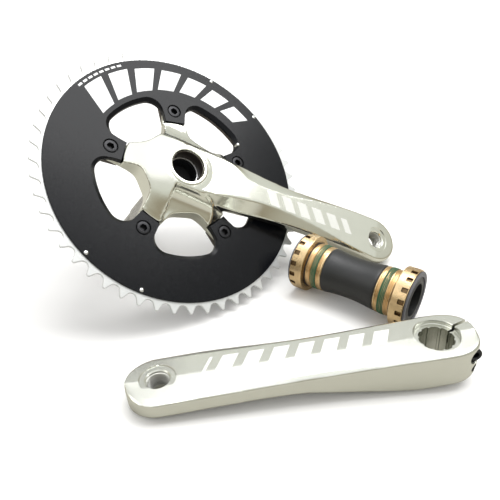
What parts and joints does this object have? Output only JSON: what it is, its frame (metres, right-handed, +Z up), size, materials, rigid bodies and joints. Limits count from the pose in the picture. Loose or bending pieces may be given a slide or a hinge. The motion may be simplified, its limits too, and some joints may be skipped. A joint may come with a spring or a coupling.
{
  "type": "bicycle crankset",
  "caption": "Double-chainring bicycle crankset laid out in its main pieces: drive crank with spindle, threaded bottom bracket with outboard bearings, and clamp-on left crank.",
  "frame": {"origin": "centre of the footprint of the laid-out pieces, on the surface they lie on", "axes": "+Z up from that surface, +X towards the left crank's spindle end, +Y towards the chainrings"},
  "size_m": [0.2904, 0.2554, 0.1653],
  "materials": {
    "polished_aluminium": "polished",
    "satin_aluminium": "fine bead-blasted satin",
    "black_anodised": "satin black anodised face with bare silver teeth",
    "grey_ring": "satin",
    "spindle_steel": "ground",
    "black_steel": "black oxide",
    "bright_steel": "bright",
    "gold_anodised": "gold anodised",
    "green_locker": "dried thread locker",
    "grey_plastic": "fine texture",
    "black_plastic": "moulded",
    "black_rubber": "smooth"
  },
  "bodies": {
    "bottom_bracket": {"right_cup": "gold_anodised", "right_thread_band": "green_locker", "right_shell_seal": "black_rubber", "right_rim_cover": "grey_plastic", "right_outer_race": "bright_steel", "left_cup": "gold_anodised", "left_thread_band": "green_locker", "left_shell_seal": "black_rubber", "left_rim_cover": "grey_plastic", "left_outer_race": "bright_steel", "shell_sleeve": "black_plastic"},
    "right_bearing": {"right_inner_race": "bright_steel", "right_dust_cover": "black_plastic"},
    "right_balls": {"right_ball_set": "bright_steel"},
    "left_bearing": {"left_inner_race": "bright_steel", "left_dust_cover": "black_plastic"},
    "left_balls": {"left_ball_set": "bright_steel"},
    "drive_crank": {"drive_crank_arm": "polished_aluminium", "spindle": "spindle_steel", "outer_chainring": "black_anodised", "inner_chainring": "grey_ring", "spindle_washer": "black_plastic", "chainring_bolt_1": "black_steel", "chainring_bolt_2": "black_steel", "chainring_bolt_3": "black_steel", "chainring_bolt_4": "black_steel", "chainring_bolt_5": "black_steel", "chainring_nut_1": "black_steel", "chainring_nut_2": "black_steel", "chainring_nut_3": "black_steel", "chainring_nut_4": "black_steel", "chainring_nut_5": "black_steel", "shift_pin_1": "bright_steel", "shift_pin_2": "bright_steel", "shift_pin_3": "bright_steel", "shift_pin_4": "bright_steel", "chain_catch_pin": "bright_steel"},
    "left_crank": {"left_crank_arm": "satin_aluminium"},
    "upper_clamp_bolt": {"pinch_bolt_upper": "black_steel", "pinch_washer_upper": "bright_steel"},
    "lower_clamp_bolt": {"pinch_bolt_lower": "black_steel", "pinch_washer_lower": "bright_steel"}
  },
  "joints": [
    {"name": "crank_spin", "type": "hinge", "parent": "bottom_bracket", "child": "drive_crank", "pos_m": [-0.04968, 0.03636, 0.08685], "axis": [0.488, -0.5551, 0.6735], "range_deg": [0, 240]},
    {"name": "right_bearing_spin", "type": "hinge", "parent": "bottom_bracket", "child": "right_bearing", "pos_m": [0.11553, -0.03386, 0.02205], "axis": [0.8049, -0.5934, 0], "continuous": true},
    {"name": "right_balls_spin", "type": "hinge", "parent": "bottom_bracket", "child": "right_balls", "pos_m": [0.11553, -0.03386, 0.02205], "axis": [0.8049, -0.5934, 0], "continuous": true},
    {"name": "left_bearing_spin", "type": "hinge", "parent": "bottom_bracket", "child": "left_bearing", "pos_m": [0.04872, 0.01539, 0.02205], "axis": [0.8049, -0.5934, 0], "continuous": true},
    {"name": "left_balls_spin", "type": "hinge", "parent": "bottom_bracket", "child": "left_balls", "pos_m": [0.04872, 0.01539, 0.02205], "axis": [0.8049, -0.5934, 0], "continuous": true},
    {"name": "left_arm_pull", "type": "slide", "parent": "bottom_bracket", "child": "left_crank", "axis": [-0.0725, -0.0107, 0.9973], "range_m": [0, 0.024]},
    {"name": "upper_clamp_bolt_pull", "type": "slide", "parent": "left_crank", "child": "upper_clamp_bolt", "axis": [0.1461, -0.9893, 0], "range_m": [0, 0.021]},
    {"name": "lower_clamp_bolt_pull", "type": "slide", "parent": "left_crank", "child": "lower_clamp_bolt", "axis": [-0.1461, 0.9893, 0], "range_m": [0, 0.021]}
  ],
  "couplings": [
    {"joint": "right_balls_spin", "follows": "right_bearing_spin", "ratio": 0.4557},
    {"joint": "left_balls_spin", "follows": "left_bearing_spin", "ratio": 0.4557}
  ]
}
